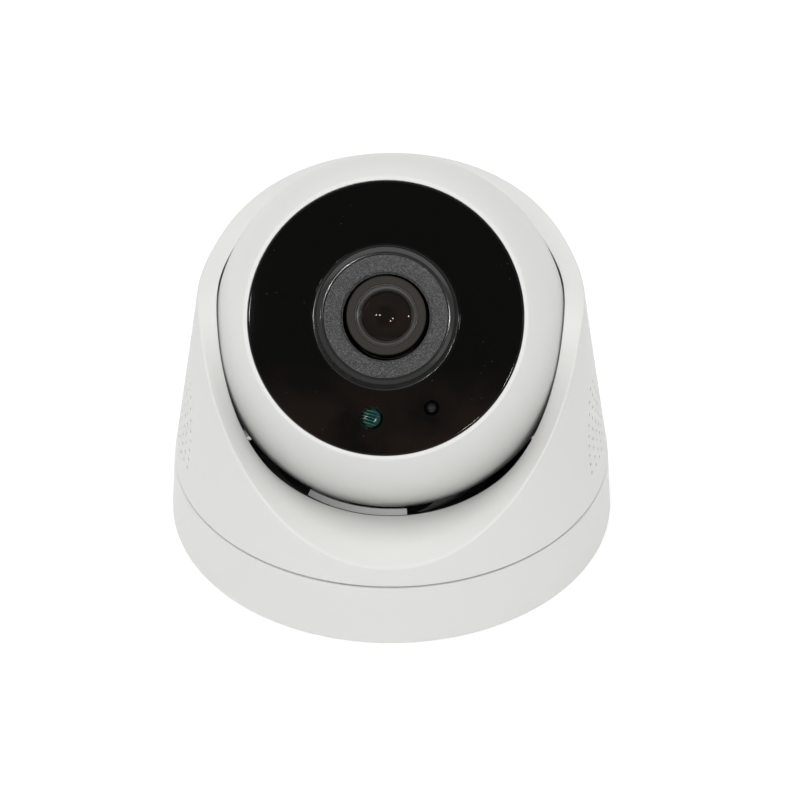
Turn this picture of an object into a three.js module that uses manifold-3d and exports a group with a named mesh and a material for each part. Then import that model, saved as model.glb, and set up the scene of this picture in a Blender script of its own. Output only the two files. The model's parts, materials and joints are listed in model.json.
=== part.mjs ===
// A turret security camera: a ball-shaped camera head held in a tapered round housing.
// Millimetres, +Z up, the base stands on z = 0 and the open side of the housing faces -Y.
import * as THREE from "three";
import { mergeVertices } from "three/addons/utils/BufferGeometryUtils.js";
import Module from "manifold-3d";

const wasm = await Module();
wasm.setup();

// Driving sizes.
const BASE_RADIUS = 47.5;
const BALL_RADIUS = 36.4;
const LENS_ELEVATION = 41.3;
const LENS_TURN = -3.4;

// Clearances and walls shared by neighbouring pieces.
const REST_GAP = 0.1;
const RUN_GAP = 0.35;
const SHELL_WALL = 3;
const COVER_WALL = 2.4;

// Heights of the mounting base.
const FLOOR_TOP = 2.5;
const RIM_TOP = 13.5;
const SEAM = 0.4;
const BALL_CENTRE_Z = FLOOR_TOP + 4.5 + BALL_RADIUS;

const FINE = 48;
const MEDIUM = 32;
const SMALL = 16;
const rad = THREE.MathUtils.degToRad;

// ---------------------------------------------------------------- helpers

// Turns a closed outline of [radius, height] pairs about Z.
function revolve(outline, segments = MEDIUM) {
  const points = outline.map(([r, z]) => new THREE.Vector2(r, z));
  const last = outline.length - 1;
  const closed = outline[0][0] > 0 || outline[last][0] > 0;
  if (closed) points.push(points[0].clone());
  const shape = new THREE.LatheGeometry(points, segments);
  return shape.rotateX(Math.PI / 2);
}

// Points on an arc about (cr, cz), from one angle to another in degrees from the +radius direction.
function arc(cr, cz, radius, from, to, steps) {
  const points = [];
  for (let i = 0; i <= steps; i++) {
    const a = rad(from + ((to - from) * i) / steps);
    points.push([cr + radius * Math.cos(a), cz + radius * Math.sin(a)]);
  }
  return points;
}

// A ring of rectangular section.
function ring(inner, outer, low, high, segments = MEDIUM) {
  return revolve([[inner, low], [outer, low], [outer, high], [inner, high]], segments);
}

function disc(radius, low, high, segments = SMALL) {
  return revolve([[0, low], [radius, low], [radius, high], [0, high]], segments);
}

function box(width, depth, low, high, x = 0, y = 0) {
  const shape = new THREE.BoxGeometry(width, depth, high - low);
  return shape.translate(x, y, (low + high) / 2);
}

// A wedge of a circle about Z, for cutting arcs out of rings. Angles run from the front (-Y) towards +X.
function wedge(from, to, radius, low, high) {
  const outline = new THREE.Shape();
  outline.moveTo(0, 0);
  const steps = 6;
  for (let i = 0; i <= steps; i++) {
    const a = rad(from + ((to - from) * i) / steps - 90);
    outline.lineTo(radius * Math.cos(a), radius * Math.sin(a));
  }
  outline.closePath();
  const shape = new THREE.ExtrudeGeometry(outline, { depth: high - low, bevelEnabled: false });
  return shape.translate(0, 0, low);
}

function at(shape, x, y, z = 0) {
  return shape.translate(x, y, z);
}

// The point at an angle from the front (-Y) towards +X.
function polar(radius, angle) {
  return [radius * Math.sin(rad(angle)), -radius * Math.cos(rad(angle))];
}

function solid(shape) {
  const bare = shape.clone();
  bare.deleteAttribute("normal");
  bare.deleteAttribute("uv");
  const merged = mergeVertices(bare, 1e-4);
  const vertProperties = new Float32Array(merged.getAttribute("position").array);
  const triVerts = new Uint32Array(merged.index.array);
  return new wasm.Manifold(new wasm.Mesh({ numProp: 3, vertProperties, triVerts }));
}

function geometry(made) {
  const mesh = made.getMesh();
  const shape = new THREE.BufferGeometry();
  shape.setAttribute("position", new THREE.BufferAttribute(new Float32Array(mesh.vertProperties), 3));
  shape.setIndex(new THREE.BufferAttribute(new Uint32Array(mesh.triVerts), 1));
  shape.computeVertexNormals();
  return shape;
}

function join(first, ...others) {
  return geometry(others.reduce((made, next) => made.add(solid(next)), solid(first)));
}

function cut(first, ...others) {
  return geometry(others.reduce((made, next) => made.subtract(solid(next)), solid(first)));
}

function common(first, second) {
  return geometry(solid(first).intersect(solid(second)));
}

const FINISHES = {
  white: { color: 0xe2e1dd, roughness: 0.42, metalness: 0 },
  black: { color: 0x141414, roughness: 0.5, metalness: 0 },
  gloss: { color: 0x0a0a0b, roughness: 0.08, metalness: 0 },
  rubber: { color: 0x1c1c1c, roughness: 0.85, metalness: 0 },
  foam: { color: 0x2b2b2b, roughness: 0.95, metalness: 0 },
  pad: { color: 0xa9aaa8, roughness: 0.8, metalness: 0 },
  grain: { color: 0x55565a, roughness: 0.75, metalness: 0 },
  lens: { color: 0x34302d, roughness: 0.4, metalness: 0.2 },
  glass: { color: 0x20262c, roughness: 0.05, metalness: 0 },
  filter: { color: 0x9a4a55, roughness: 0.05, metalness: 0 },
  board: { color: 0x14532f, roughness: 0.55, metalness: 0 },
  chip: { color: 0x1d2a33, roughness: 0.25, metalness: 0 },
  emitter: { color: 0x1a1114, roughness: 0.1, metalness: 0 },
  sensor: { color: 0x2f7f76, roughness: 0.3, metalness: 0 },
  brass: { color: 0xb08d45, roughness: 0.35, metalness: 1 },
  steel: { color: 0x9a9ca0, roughness: 0.35, metalness: 1 },
};

const camera = new THREE.Group();

function add(name, finish, shape, place) {
  const mesh = new THREE.Mesh(shape, new THREE.MeshStandardMaterial(FINISHES[finish]));
  if (place) mesh.applyMatrix4(place);
  mesh.name = name;
  camera.add(mesh);
}

// ---------------------------------------------------------------- mounting base

const RIM_RADIUS = BASE_RADIUS - 1.7;
const BASE_BORE = BASE_RADIUS - 3.5;
const FLANGE_BORE = BASE_BORE - 2.4;
const FLANGE_LOW = RIM_TOP - 2.3;
const CABLE_HOLE = 9;
const BOSS_CIRCLE = BASE_RADIUS - 11.3;
const BOSS_TOP = 5.9;
const BOSS_ANGLES = [60, 180, 300];
const HOLE_ANGLES = [0, 120, 240];
const TWIST = 16;
const TAB_WIDTH = 14;
const TAB_ANGLES = [30, 150, 270];
const GASKET_INNER = 26;
const GASKET_OUTER = 33;
const GASKET_DEPTH = 1;
const SEAL_INNER = RIM_RADIUS - 1.4;
const SEAL_OUTER = RIM_RADIUS - 0.5;
const LOCK_Z = 7;
const LOCK_RADIUS = 1.5;

const baseBlank = revolve([
  [CABLE_HOLE, 0],
  [GASKET_INNER, 0],
  [GASKET_INNER, GASKET_DEPTH],
  [GASKET_OUTER, GASKET_DEPTH],
  [GASKET_OUTER, 0],
  [BASE_RADIUS - 0.3, 0],
  [BASE_RADIUS, 0.4],
  [RIM_RADIUS + 0.5, RIM_TOP - 0.6],
  [RIM_RADIUS + 0.35, RIM_TOP - 0.15],
  [RIM_RADIUS, RIM_TOP],
  [SEAL_OUTER, RIM_TOP],
  [SEAL_OUTER, RIM_TOP - 0.7],
  [SEAL_INNER, RIM_TOP - 0.7],
  [SEAL_INNER, RIM_TOP],
  [FLANGE_BORE, RIM_TOP],
  [FLANGE_BORE, FLANGE_LOW],
  [BASE_BORE, FLANGE_LOW],
  [BASE_BORE, FLOOR_TOP],
  [CABLE_HOLE, FLOOR_TOP],
], FINE);

// The lock screw goes in level at the back of the base.
const lockPlace = (shape, depth) => shape.rotateX(-Math.PI / 2).translate(0, BASE_BORE + depth, LOCK_Z);
const sideDrill = () => lockPlace(disc(LOCK_RADIUS, 0, 10, 16), -3);
const bosses = BOSS_ANGLES.map((angle) => at(disc(2.4, FLOOR_TOP - 0.5, BOSS_TOP), ...polar(BOSS_CIRCLE, angle)));
const bossHoles = BOSS_ANGLES.map((angle) => at(disc(1.6, FLOOR_TOP + 0.5, BOSS_TOP + 1, 16), ...polar(BOSS_CIRCLE, angle)));
const wallHoles = HOLE_ANGLES.map((angle) => at(disc(2.3, -1, FLOOR_TOP + 1, 16), ...polar(BOSS_CIRCLE, angle)));
const notches = TAB_ANGLES.map((angle) =>
  wedge(angle + TWIST - TAB_WIDTH / 2 - 1, angle + TWIST + TAB_WIDTH / 2 + 1, BASE_BORE, FLANGE_LOW - 0.5, RIM_TOP + 0.5));

add("mounting_base", "white", cut(
  join(baseBlank, ...bosses),
  sideDrill(),
  ...bossHoles,
  ...wallHoles,
  ...notches,
));

add("wall_gasket", "foam", ring(GASKET_INNER + REST_GAP, GASKET_OUTER - REST_GAP, 0, GASKET_DEPTH - REST_GAP / 2, FINE));

add("cable_grommet", "rubber", revolve([
  [5.5, 0.3],
  [CABLE_HOLE - REST_GAP, 0.3],
  [CABLE_HOLE - REST_GAP, FLOOR_TOP + REST_GAP / 2],
  [CABLE_HOLE + 2, FLOOR_TOP + REST_GAP / 2],
  [CABLE_HOLE + 1.4, FLOOR_TOP + 1.5],
  [5.5, FLOOR_TOP + 1.5],
], FINE));

add("cover_seal", "rubber", ring(SEAL_INNER + REST_GAP, SEAL_OUTER - REST_GAP, RIM_TOP - 0.65, RIM_TOP + 0.2, FINE));

const lockScrew = cut(disc(LOCK_RADIUS - REST_GAP, 0, 3, 16), disc(0.7, 1.8, 4, 6));
add("lock_screw", "steel", lockPlace(lockScrew, 0.1));

BOSS_ANGLES.forEach((angle, i) => {
  const [x, y] = polar(BOSS_CIRCLE, angle);
  const screw = revolve([
    [0, FLOOR_TOP + 0.6],
    [1.6 - REST_GAP, FLOOR_TOP + 0.6],
    [1.6 - REST_GAP, BOSS_TOP + REST_GAP / 2],
    [3.6, BOSS_TOP + REST_GAP / 2],
    [3.6, BOSS_TOP + 1.2],
    [2.4, BOSS_TOP + 1.9],
    [0, BOSS_TOP + 1.9],
  ], 16);
  const slot = box(4.2, 0.8, BOSS_TOP + 1.1, BOSS_TOP + 3);
  add("retainer_screw_" + (i + 1), "steel", at(cut(screw, slot), x, y));
});

// ---------------------------------------------------------------- pan ring

const SEAT_RADIUS = BALL_RADIUS + 1.8;
const SEAT_FROM = 32.634;
const SEAT_TO = 43.3;
const RING_WALL = 2.2;
const RING_INNER = SEAT_RADIUS * Math.sin(rad(SEAT_FROM));
const RING_OUTER = SEAT_RADIUS * Math.sin(rad(SEAT_TO)) + RING_WALL;
const RING_LOW = FLOOR_TOP + RUN_GAP;
const RING_TOP = BALL_CENTRE_Z - SEAT_RADIUS * Math.cos(rad(SEAT_TO));
const PAD_FACE = BALL_RADIUS + RUN_GAP;
const PAD_BACK = SEAT_RADIUS - REST_GAP / 2;
const FLANGE_OUTER = BOSS_CIRCLE - 2.4 - RUN_GAP;
const FLANGE_TOP = BOSS_TOP - 0.4;

// Points of a sphere about the ball's centre, angles measured from its lowest point.
const underBall = (radius, from, to, steps) => arc(0, BALL_CENTRE_Z, radius, from - 90, to - 90, steps);

add("pan_ring", "black", revolve([
  [RING_INNER, RING_LOW],
  [FLANGE_OUTER, RING_LOW],
  [FLANGE_OUTER, FLANGE_TOP],
  [RING_OUTER, FLANGE_TOP],
  [RING_OUTER, RING_TOP],
  ...underBall(SEAT_RADIUS, SEAT_TO, SEAT_FROM, 4),
], FINE));

const padRing = () => revolve([
  ...underBall(PAD_BACK, 34, 42.5, 3),
  ...underBall(PAD_FACE, 42.5, 34, 3),
], FINE);
[-17.3, 102.7, 222.7].forEach((angle, i) => {
  const sector = wedge(angle - 24.7, angle + 24.7, 40, 5, 20);
  add("friction_pad_" + (i + 1), "pad", common(padRing(), sector));
});

// ---------------------------------------------------------------- cover

const COVER_LOW = RIM_TOP + SEAM;
const LIP = 1.4;
const COVER_TURN = -1.2;

// The outer wall tapers by about ten degrees and leans in a little less towards the top.
function wallRadius(z) {
  const up = z - COVER_LOW;
  return BASE_RADIUS - 1.3 - 0.179 * up + 0.00014 * up * up;
}

// Height of the cut edge seen from the side: a 45 degree cut at the front that runs into a low shoulder.
// It stretches with the base's width and with the height of the ball's centre over the cover's foot.
const CUT_DEPTH = BASE_RADIUS / 47.5;
const CUT_RISE = (BALL_CENTRE_Z - COVER_LOW) / 29.5;
const sideProfile = new THREE.SplineCurve([
  [-46, 17.5], [-30, 34.3], [-18, 45.9], [-12, 50.7], [-4, 53.2],
  [4, 54.3], [12, 55.8], [20, 58.8], [28, 61.4], [37, 63.6], [46, 65],
].map(([y, z]) => new THREE.Vector2(y * CUT_DEPTH, COVER_LOW + (z - 13.9) * CUT_RISE)));
const sidePoints = sideProfile.getPoints(240);

function cutHeight(y) {
  const next = sidePoints.findIndex((p) => p.x >= y);
  if (next <= 0) return sidePoints[0].y;
  const [a, b] = [sidePoints[next - 1], sidePoints[next]];
  return a.y + ((b.y - a.y) * (y - a.x)) / (b.x - a.x);
}

// Where the cut meets the wall, at an angle from the front.
function ridgeHeight(angle) {
  let z = 40;
  for (let i = 0; i < 40; i++) z += 0.4 * (cutHeight(-wallRadius(z) * Math.cos(angle)) - z);
  return z;
}

// The opening follows the ball, closely at the sides and back and with more room in front.
function lip(angle) {
  const away = THREE.MathUtils.radToDeg(Math.abs(angle));
  const room = 0.3 + 1.8 * (1 - THREE.MathUtils.smoothstep(away, 41, 66));
  const spread = away < 45.2 ? 25 : 20;
  const dip = 8.5 * Math.exp(-(((away - 45.2) / spread) ** 2));
  const z = ridgeHeight(angle) + 0.6 - dip;
  return { z, reach: BALL_RADIUS + room };
}

const ballSide = (reach, z) => Math.sqrt(reach ** 2 - (z - BALL_CENTRE_Z) ** 2);

// The cover's section at an angle: up the wall, over the ridge, in to the lip and back down inside.
function coverSection(angle) {
  const ridge = ridgeHeight(angle);
  const { z: lipZ, reach } = lip(angle);
  const outer = wallRadius(ridge);
  const edge = ballSide(reach, lipZ);
  const under = lipZ - LIP;
  const underEdge = Math.max(edge, ballSide(reach, under));
  const wall = (t) => COVER_LOW + 0.4 + (ridge - 0.7 - COVER_LOW - 0.4) * t;
  const floor = (t) => [outer - 0.7 + (edge + 0.5 - outer + 0.7) * t, ridge + (lipZ - ridge) * t];
  const inside = Math.max(COVER_LOW + 0.6, Math.min(ridge, lipZ) - 2.2);
  return [
    [wallRadius(COVER_LOW) - 0.4, COVER_LOW],
    ...[0, 0.33, 0.67, 1].map((t) => [wallRadius(wall(t)), wall(t)]),
    [outer - 0.2, ridge - 0.2],
    ...[0, 0.33, 0.67, 1].map(floor),
    [Math.max(edge, ballSide(reach, lipZ - 0.4)), lipZ - 0.4],
    [underEdge, under],
    [Math.max(underEdge + 0.2, wallRadius(inside) - COVER_WALL - 1.2), Math.min(inside + 0.3, under)],
    [wallRadius(inside) - COVER_WALL, inside - 0.6],
    ...[0.5, 0].map((t) => {
      const z = COVER_LOW + (inside - 0.6 - COVER_LOW) * t;
      return [wallRadius(z) - COVER_WALL, z];
    }),
  ];
}

// A lathe blank whose points are then moved to the section at their own angle.
function coverShell() {
  const blank = coverSection(0);
  const count = blank.length;
  const shape = revolve(blank, FINE);
  const position = shape.getAttribute("position");
  for (let i = 0; i <= FINE; i++) {
    const angle = (2 * Math.PI * (i % FINE)) / FINE;
    const section = coverSection(angle > Math.PI ? 2 * Math.PI - angle : angle);
    for (let j = 0; j <= count; j++) {
      const [r, z] = section[j % count];
      position.setXYZ(i * (count + 1) + j, r * Math.sin(angle), -r * Math.cos(angle), z);
    }
  }
  return shape;
}

const STEM_OUTER = FLANGE_BORE - RUN_GAP;
const STEM_INNER = STEM_OUTER - 1;
const FOOT_TOP = FLANGE_LOW - RUN_GAP;
const tabBlank = () => join(
  ring(STEM_INNER, STEM_OUTER, FOOT_TOP - 2, COVER_LOW + 1.6, FINE),
  ring(STEM_INNER, wallRadius(COVER_LOW) - 1.2, COVER_LOW + 0.1, COVER_LOW + 1.6, FINE),
  ring(STEM_INNER, BASE_BORE - RUN_GAP, FOOT_TOP - 2, FOOT_TOP, FINE),
);
const tabs = TAB_ANGLES.map((angle) =>
  common(tabBlank(), wedge(angle - TAB_WIDTH / 2, angle + TAB_WIDTH / 2, BASE_RADIUS, 0, 20)));

// Small blind vent dimples in both side walls, in rows that shorten upwards.
const VENT_ROWS = 9;
const VENT_RISE = 2.05;
const VENT_STEP = 2.6;
const VENT_LOW = COVER_LOW + 6.3;
const VENT_ARC = 23.5;
const VENT_ARC_Y = 6.5;
const VENT_MIDDLE = -9;
const VENT_RADIUS = 0.45;
const VENT_DEPTH = 0.8;

const vents = [];
for (let row = 0; row < VENT_ROWS; row++) {
  const rise = row * VENT_RISE;
  const z = VENT_LOW + rise;
  const front = VENT_ARC_Y - Math.sqrt(VENT_ARC ** 2 - rise ** 2);
  const back = 2 * VENT_MIDDLE - front;
  for (let y = front; y <= back; y += VENT_STEP) {
    const foot = Math.sqrt(wallRadius(z) ** 2 - y ** 2) - VENT_DEPTH;
    const drill = () => disc(VENT_RADIUS, 0, 4, 4).rotateY(Math.PI / 2);
    vents.push(drill().translate(foot, y, z), drill().translate(-foot - 4, y, z));
  }
}

add("cover", "white", cut(join(coverShell(), ...tabs), ...vents).rotateZ(rad(COVER_TURN)));

// The hold-down pads sit a little below the opening's edge at their own angles.
const HOLD_ANGLES = [128, 180, 232];
const HOLD_DROP = 5.72;
const HOLD_HEIGHT = 4.5;
const padHigh = lip(rad(HOLD_ANGLES[0])).z - HOLD_DROP;
const padLow = padHigh - HOLD_HEIGHT;
const holdRing = () => revolve([
  [ballSide(PAD_FACE, padLow), padLow],
  [wallRadius(padLow) - COVER_WALL - RUN_GAP, padLow],
  [wallRadius(padHigh) - COVER_WALL - RUN_GAP, padHigh],
  [ballSide(PAD_FACE, padHigh), padHigh],
  [ballSide(PAD_FACE, (padLow + padHigh) / 2), (padLow + padHigh) / 2],
], FINE);
HOLD_ANGLES.forEach((angle, i) => {
  const sector = wedge(angle - 9, angle + 9, BASE_RADIUS, padLow - 1, padHigh + 1);
  add("hold_down_pad_" + (i + 1), "rubber", common(holdRing(), sector).rotateZ(rad(COVER_TURN)));
});

// ---------------------------------------------------------------- ball, in the lens's own frame

// The head's frame: origin at the ball's centre, z along the lens, y up the front face.
const elevation = rad(LENS_ELEVATION);
const turn = rad(LENS_TURN);
const lensAxis = new THREE.Vector3(
  Math.sin(turn) * Math.cos(elevation), -Math.cos(turn) * Math.cos(elevation), Math.sin(elevation));
const across = new THREE.Vector3(Math.cos(turn), Math.sin(turn), 0);
const upFace = lensAxis.clone().cross(across);
const head = new THREE.Matrix4().makeBasis(across, upFace, lensAxis).setPosition(0, 0, BALL_CENTRE_Z);

const INNER_BALL = BALL_RADIUS - SHELL_WALL;
const SPLIT = -5;
const RIM_BAND = 9.3;
const RIM_WIDTH = 0.866;
const SHELF_WIDTH = 1.8;
const WINDOW_RADIUS = BALL_RADIUS - RIM_BAND;
const RIM_PLANE = Math.sqrt(BALL_RADIUS ** 2 - (WINDOW_RADIUS + RIM_WIDTH) ** 2);
const WINDOW_FACE = RIM_PLANE - 0.4;
const WINDOW_BACK = WINDOW_FACE - 1.8;
const SHELF = WINDOW_BACK - 0.7;
const SHELF_BACK = SHELF - 1.4;
const LENS_RADIUS = 7.9;
const SHROUD_INNER = LENS_RADIUS + 1;
const SHROUD_OUTER = LENS_RADIUS + 4.4;
const WINDOW_HOLE = SHROUD_OUTER + 2.2;
const SENSOR_CIRCLE = (WINDOW_RADIUS - SHELF_WIDTH + WINDOW_HOLE) / 2;
// The lens and the grained ring sit a little above the middle of the window's hole.
const LENS_RISE = 0.7;
const SHROUD_RISE = 0.35;
const raised = (rise) => head.clone().multiply(new THREE.Matrix4().makeTranslation(0, rise, 0));

const heightOn = (radius, r) => THREE.MathUtils.radToDeg(Math.acos(r / radius));
const angleOn = (radius, z) => THREE.MathUtils.radToDeg(Math.asin(z / radius));
const rimRadius = ballSide(BALL_RADIUS, BALL_CENTRE_Z + RIM_PLANE);

add("front_shell", "white", revolve([
  ...arc(0, 0, BALL_RADIUS, angleOn(BALL_RADIUS, SPLIT + 0.15), heightOn(BALL_RADIUS, rimRadius), 6),
  [WINDOW_RADIUS + REST_GAP, RIM_PLANE - 0.25],
  [WINDOW_RADIUS + REST_GAP, SHELF],
  [WINDOW_RADIUS - SHELF_WIDTH, SHELF],
  [WINDOW_RADIUS - SHELF_WIDTH, SHELF_BACK],
  ...arc(0, 0, INNER_BALL, angleOn(INNER_BALL, SHELF_BACK), angleOn(INNER_BALL, SPLIT + 0.15), 4),
], FINE), head);

add("rear_shell", "white", revolve([
  ...arc(0, 0, INNER_BALL, angleOn(INNER_BALL, SPLIT - 0.15), -heightOn(INNER_BALL, 6.5), 5),
  ...arc(0, 0, BALL_RADIUS, -heightOn(BALL_RADIUS, 6.5), angleOn(BALL_RADIUS, SPLIT - 0.15), 7),
], FINE), head);

const glideRadius = ballSide(INNER_BALL, BALL_CENTRE_Z + SPLIT - 3) - RUN_GAP;
add("shell_ring", "black", ring(glideRadius - 1.8, glideRadius, SPLIT - 3, SPLIT + 3), head);

add("rear_grommet", "rubber", revolve([
  [3.2, -BALL_RADIUS + 1],
  [6.5 - REST_GAP, -BALL_RADIUS + 1],
  [6.5 - REST_GAP, -INNER_BALL + 0.9],
  [8.4, -INNER_BALL + 1.5],
  [8, -INNER_BALL + 2.8],
  [3.2, -INNER_BALL + 2.8],
], SMALL), head);

// Front window and the rings around the lens.
const CELL = polar(SENSOR_CIRCLE, -5.77);
const LAMP = polar(SENSOR_CIRCLE, 29.1);
const CELL_RADIUS = 2.2;
const LAMP_RADIUS = 1.4;

const windowBlank = revolve([
  [WINDOW_HOLE, WINDOW_BACK],
  [WINDOW_RADIUS, WINDOW_BACK],
  [WINDOW_RADIUS, WINDOW_FACE - 0.3],
  [WINDOW_RADIUS - 0.3, WINDOW_FACE],
  [WINDOW_HOLE, WINDOW_FACE],
]);
add("window", "gloss", cut(
  windowBlank,
  at(disc(CELL_RADIUS + REST_GAP, WINDOW_BACK - 1, WINDOW_FACE + 1), ...CELL),
  at(disc(LAMP_RADIUS + REST_GAP, WINDOW_BACK - 1, WINDOW_FACE + 1), ...LAMP),
), head);

add("window_seal", "rubber", ring(WINDOW_RADIUS - SHELF_WIDTH + REST_GAP, WINDOW_RADIUS - 0.2, SHELF + REST_GAP / 2, WINDOW_BACK - REST_GAP / 2), head);

const BOARD_THICK = 1.6;
const LED_BOARD_TOP = SHELF_BACK - REST_GAP;
const LED_BOARD_BACK = LED_BOARD_TOP - BOARD_THICK;
const COLLAR_LOW = LED_BOARD_TOP + REST_GAP / 2;

add("lens_collar", "gloss", cut(
  revolve([
    [0, COLLAR_LOW],
    [WINDOW_HOLE - REST_GAP, COLLAR_LOW],
    [WINDOW_HOLE - REST_GAP, WINDOW_FACE - 0.2],
    [WINDOW_HOLE - 0.35, WINDOW_FACE],
    [0, WINDOW_FACE],
  ]),
  at(revolve([
    [0, COLLAR_LOW - 1],
    [SHROUD_OUTER - 1.2, COLLAR_LOW - 1],
    [SHROUD_OUTER - 1.2, COLLAR_LOW + 1],
    [SHROUD_OUTER, COLLAR_LOW + 1],
    [SHROUD_OUTER, WINDOW_FACE - 0.9],
    [SHROUD_OUTER + 1.3, WINDOW_FACE + 0.1],
    [SHROUD_OUTER + 1.3, WINDOW_FACE + 1],
    [0, WINDOW_FACE + 1],
  ]), 0, SHROUD_RISE),
), head);

add("shroud_ring", "grain", revolve([
  [SHROUD_INNER, COLLAR_LOW + 1.05],
  [SHROUD_OUTER - REST_GAP / 2, COLLAR_LOW + 1.05],
  [SHROUD_OUTER - REST_GAP / 2, WINDOW_FACE - 1],
  [SHROUD_INNER, WINDOW_FACE - 2],
]), raised(SHROUD_RISE));

// Lens: a threaded barrel in a holder over the sensor.
const LENS_FACE = WINDOW_FACE - 2.4;
const THREAD_RADIUS = LENS_RADIUS - 1.9;
const GLASS_RADIUS = LENS_RADIUS - 1.1;
const HOLDER_TOP = LENS_FACE - 9.4;
const BOARD_TOP = -1.1;

add("lens_barrel", "lens", revolve([
  [THREAD_RADIUS - 1, 4],
  [THREAD_RADIUS, 4],
  [THREAD_RADIUS, LENS_FACE - 5.5],
  [LENS_RADIUS, LENS_FACE - 5.5],
  [LENS_RADIUS, LENS_FACE - 0.3],
  [LENS_RADIUS - 0.3, LENS_FACE],
  [GLASS_RADIUS + 0.2, LENS_FACE],
  [GLASS_RADIUS + 0.2, LENS_FACE - 2.5],
  [THREAD_RADIUS - 1, LENS_FACE - 2.5],
], 28), raised(LENS_RISE));

add("front_element", "glass", revolve([
  [0, LENS_FACE - 2.45],
  [GLASS_RADIUS, LENS_FACE - 2.45],
  [GLASS_RADIUS, LENS_FACE - 1.5],
  [GLASS_RADIUS - 0.8, LENS_FACE - 1.4],
  [GLASS_RADIUS - 2.2, LENS_FACE - 0.7],
  [GLASS_RADIUS - 4.4, LENS_FACE - 0.1],
  [0, LENS_FACE + 0.1],
], 28), raised(LENS_RISE));

add("lens_retainer", "lens", revolve([
  [GLASS_RADIUS - 0.65, LENS_FACE - 1.3],
  [GLASS_RADIUS + 0.15, LENS_FACE - 1.3],
  [GLASS_RADIUS + 0.15, LENS_FACE - 0.1],
  [GLASS_RADIUS - 0.75, LENS_FACE - 0.4],
], 28), raised(LENS_RISE));

add("lens_lock_ring", "lens",
  ring(THREAD_RADIUS + 0.05, THREAD_RADIUS + 2.1, HOLDER_TOP + 0.05, HOLDER_TOP + 2, 28), raised(LENS_RISE));

const HOLDER_SIDE = 2 * THREAD_RADIUS + 7;
add("lens_holder", "black", cut(
  join(box(HOLDER_SIDE, HOLDER_SIDE, BOARD_TOP + 0.05, 3), disc(THREAD_RADIUS + 2, 2.5, HOLDER_TOP, 28)),
  disc(THREAD_RADIUS + 0.05, 2.2, HOLDER_TOP + 1, 28),
  box(12.5, 12.5, BOARD_TOP - 1, 2.4),
), raised(LENS_RISE));

add("ir_filter", "filter", box(12.3, 12.3, 1.7, 2.3), raised(LENS_RISE));
add("image_sensor", "chip", box(9.4, 8.2, BOARD_TOP + 0.05, 0.3), raised(LENS_RISE));

const BOARD_RADIUS = glideRadius - 5.08;
const POST_CIRCLE = BOARD_RADIUS - 6;
const POST_ANGLES = [30, 150, 270];
const postHoles = () => POST_ANGLES.map((angle) => at(disc(1.3, -20, 20, 12), ...polar(POST_CIRCLE, angle)));

add("main_board", "board", cut(disc(BOARD_RADIUS, BOARD_TOP - BOARD_THICK, BOARD_TOP, 32), ...postHoles()), head);
add("led_board", "board", ring(SHROUD_OUTER + 0.9, WINDOW_RADIUS - 0.8, LED_BOARD_BACK, LED_BOARD_TOP, 32), head);

POST_ANGLES.forEach((angle, i) => {
  const [x, y] = polar(POST_CIRCLE, angle);
  const post = cut(
    disc(2.2, BOARD_TOP + 0.05, LED_BOARD_BACK - 0.05, 12),
    disc(1.3, BOARD_TOP - 1, BOARD_TOP + 6, 12),
  );
  add("standoff_" + (i + 1), "brass", at(post, x, y), head);
  const back = BOARD_TOP - BOARD_THICK - 0.05;
  const screw = join(disc(2.5, back - 1.6, back, 16), disc(1.2, back - 0.5, BOARD_TOP + 5, 12));
  const slot = box(5.4, 0.7, back - 2.5, back - 0.9);
  add("board_screw_" + (i + 1), "steel", at(cut(screw, slot), x, y), head);
});

[75, 120, 165, 210, 255, 300].forEach((angle, i) => {
  const [x, y] = polar(SENSOR_CIRCLE, angle);
  const chip = join(box(3, 3, LED_BOARD_TOP + 0.05, LED_BOARD_TOP + 0.9), disc(1.3, LED_BOARD_TOP + 0.5, LED_BOARD_TOP + 1.7, 16));
  add("ir_led_" + (i + 1), "emitter", at(chip, x, y), head);
});

add("photocell", "sensor", at(revolve([
  [0, LED_BOARD_TOP + 0.05],
  [CELL_RADIUS, LED_BOARD_TOP + 0.05],
  [CELL_RADIUS, WINDOW_FACE - 0.5],
  [CELL_RADIUS - 0.3, WINDOW_FACE - 0.2],
  [0, WINDOW_FACE - 0.2],
], 20), ...CELL), head);

add("status_led", "emitter", at(revolve([
  [0, LED_BOARD_TOP + 0.05],
  [LAMP_RADIUS, LED_BOARD_TOP + 0.05],
  [LAMP_RADIUS, WINDOW_FACE - 1.2],
  [LAMP_RADIUS * 0.8, WINDOW_FACE - 0.6],
  [0, WINDOW_FACE - 0.2],
], 16), ...LAMP), head);

export default camera;
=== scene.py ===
import json
import math

import bmesh
import bpy
from bpy.props import FloatProperty, FloatVectorProperty, IntProperty, PointerProperty
from mathutils import Matrix, Vector


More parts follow.
